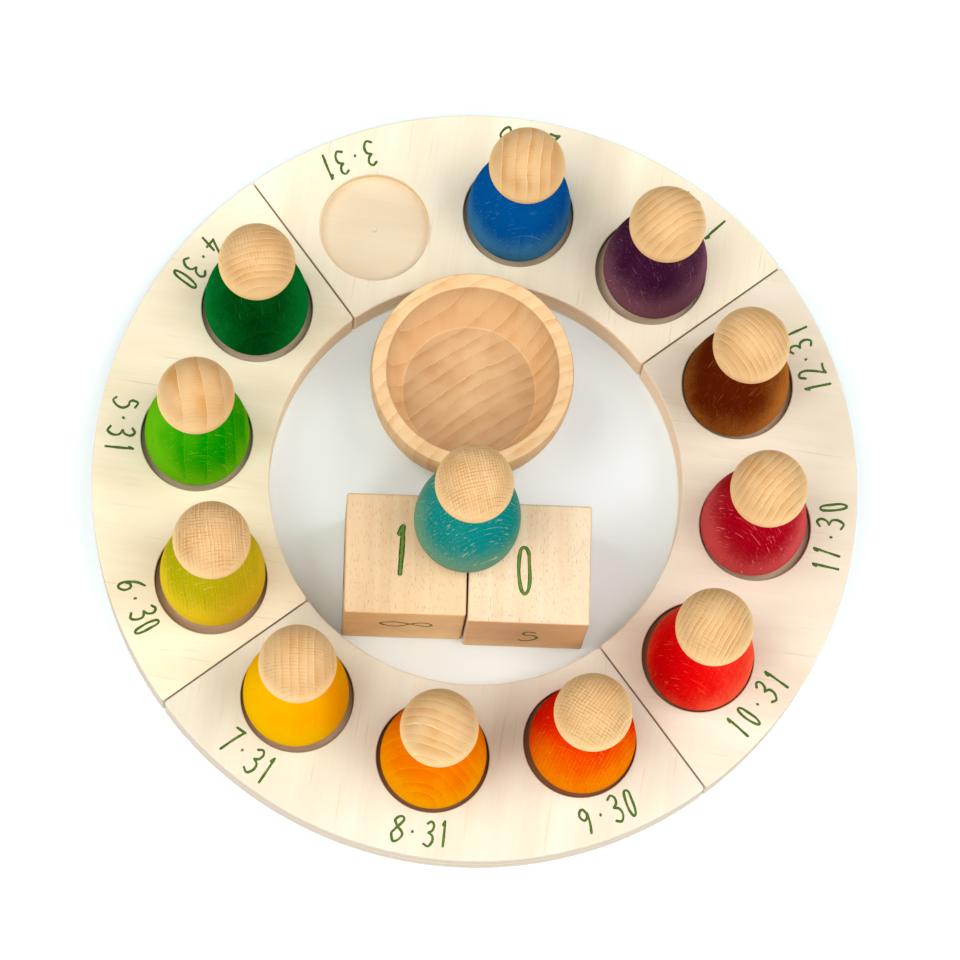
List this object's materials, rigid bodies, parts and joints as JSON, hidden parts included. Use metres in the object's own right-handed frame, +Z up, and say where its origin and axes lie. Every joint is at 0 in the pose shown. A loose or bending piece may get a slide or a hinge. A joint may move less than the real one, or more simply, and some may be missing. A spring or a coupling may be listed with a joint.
{
  "type": "perpetual desk calendar",
  "caption": "Wooden perpetual calendar: a flat ring of loose quarters with round recesses for dyed month figures, around numbered date cubes and a small turned bowl.",
  "frame": {"origin": "centre of the ring, on the surface that everything stands on", "axes": "+Z up; +Y away from the reader, towards the bowl; +X to the reader's right; the numbers on the cubes face the reader at -Y"},
  "size_m": [0.25, 0.25, 0.108],
  "materials": {
    "ring_plywood": "bare pale plywood, sanded",
    "bowl_beech": "bare turned beech",
    "cube_beech": "bare sanded beech",
    "january_dyed_beech": "one turned piece of beech: water-based dye on the body, bare ball head",
    "february_dyed_beech": "one turned piece of beech: water-based dye on the body, bare ball head",
    "march_dyed_beech": "one turned piece of beech: water-based dye on the body, bare ball head",
    "april_dyed_beech": "one turned piece of beech: water-based dye on the body, bare ball head",
    "may_dyed_beech": "one turned piece of beech: water-based dye on the body, bare ball head",
    "june_dyed_beech": "one turned piece of beech: water-based dye on the body, bare ball head",
    "july_dyed_beech": "one turned piece of beech: water-based dye on the body, bare ball head",
    "august_dyed_beech": "one turned piece of beech: water-based dye on the body, bare ball head",
    "september_dyed_beech": "one turned piece of beech: water-based dye on the body, bare ball head",
    "october_dyed_beech": "one turned piece of beech: water-based dye on the body, bare ball head",
    "november_dyed_beech": "one turned piece of beech: water-based dye on the body, bare ball head",
    "december_dyed_beech": "one turned piece of beech: water-based dye on the body, bare ball head"
  },
  "bodies": {
    "ring_quarter_jan_mar": {"ring_quarter_jan_mar": "ring_plywood"},
    "ring_quarter_apr_jun": {"ring_quarter_apr_jun": "ring_plywood"},
    "ring_quarter_jul_sep": {"ring_quarter_jul_sep": "ring_plywood"},
    "ring_quarter_oct_dec": {"ring_quarter_oct_dec": "ring_plywood"},
    "january_doll": {"january_doll": "january_dyed_beech"},
    "february_doll": {"february_doll": "february_dyed_beech"},
    "march_doll": {"march_doll": "march_dyed_beech"},
    "april_doll": {"april_doll": "april_dyed_beech"},
    "may_doll": {"may_doll": "may_dyed_beech"},
    "june_doll": {"june_doll": "june_dyed_beech"},
    "july_doll": {"july_doll": "july_dyed_beech"},
    "august_doll": {"august_doll": "august_dyed_beech"},
    "september_doll": {"september_doll": "september_dyed_beech"},
    "october_doll": {"october_doll": "october_dyed_beech"},
    "november_doll": {"november_doll": "november_dyed_beech"},
    "december_doll": {"december_doll": "december_dyed_beech"},
    "left_date_cube": {"left_date_cube": "cube_beech"},
    "right_date_cube": {"right_date_cube": "cube_beech"},
    "bowl": {"bowl": "bowl_beech"}
  },
  "joints": [
    {"name": "ring_quarter_apr_jun_slide", "type": "slide", "parent": "ring_quarter_jan_mar", "child": "ring_quarter_apr_jun", "axis": [-0.9885, 0.1513, 0], "range_m": [0, 0.06]},
    {"name": "ring_quarter_jul_sep_slide", "type": "slide", "parent": "ring_quarter_jan_mar", "child": "ring_quarter_jul_sep", "axis": [-0.1513, -0.9885, 0], "range_m": [0, 0.06]},
    {"name": "ring_quarter_oct_dec_slide", "type": "slide", "parent": "ring_quarter_jan_mar", "child": "ring_quarter_oct_dec", "axis": [0.9885, -0.1513, 0], "range_m": [0, 0.06]},
    {"name": "january_doll_lift", "type": "slide", "parent": "ring_quarter_jan_mar", "child": "january_doll", "axis": [0, 0, 1], "range_m": [0, 0.08]},
    {"name": "february_doll_lift", "type": "slide", "parent": "ring_quarter_jan_mar", "child": "february_doll", "axis": [0, 0, 1], "range_m": [0, 0.08]},
    {"name": "march_doll_lift", "type": "slide", "parent": "right_date_cube", "child": "march_doll", "axis": [0, 0, 1], "range_m": [0, 0.08]},
    {"name": "april_doll_lift", "type": "slide", "parent": "ring_quarter_apr_jun", "child": "april_doll", "axis": [0, 0, 1], "range_m": [0, 0.08]},
    {"name": "may_doll_lift", "type": "slide", "parent": "ring_quarter_apr_jun", "child": "may_doll", "axis": [0, 0, 1], "range_m": [0, 0.08]},
    {"name": "june_doll_lift", "type": "slide", "parent": "ring_quarter_apr_jun", "child": "june_doll", "axis": [0, 0, 1], "range_m": [0, 0.08]},
    {"name": "july_doll_lift", "type": "slide", "parent": "ring_quarter_jul_sep", "child": "july_doll", "axis": [0, 0, 1], "range_m": [0, 0.08]},
    {"name": "august_doll_lift", "type": "slide", "parent": "ring_quarter_jul_sep", "child": "august_doll", "axis": [0, 0, 1], "range_m": [0, 0.08]},
    {"name": "september_doll_lift", "type": "slide", "parent": "ring_quarter_jul_sep", "child": "september_doll", "axis": [0, 0, 1], "range_m": [0, 0.08]},
    {"name": "october_doll_lift", "type": "slide", "parent": "ring_quarter_oct_dec", "child": "october_doll", "axis": [0, 0, 1], "range_m": [0, 0.08]},
    {"name": "november_doll_lift", "type": "slide", "parent": "ring_quarter_oct_dec", "child": "november_doll", "axis": [0, 0, 1], "range_m": [0, 0.08]},
    {"name": "december_doll_lift", "type": "slide", "parent": "ring_quarter_oct_dec", "child": "december_doll", "axis": [0, 0, 1], "range_m": [0, 0.08]},
    {"name": "left_date_cube_lift", "type": "slide", "parent": "ring_quarter_jan_mar", "child": "left_date_cube", "axis": [0, 0, 1], "range_m": [0, 0.06]},
    {"name": "right_date_cube_lift", "type": "slide", "parent": "left_date_cube", "child": "right_date_cube", "axis": [0, 0, 1], "range_m": [0, 0.06]},
    {"name": "bowl_lift", "type": "slide", "parent": "ring_quarter_jan_mar", "child": "bowl", "axis": [0, 0, 1], "range_m": [0, 0.06]}
  ]
}
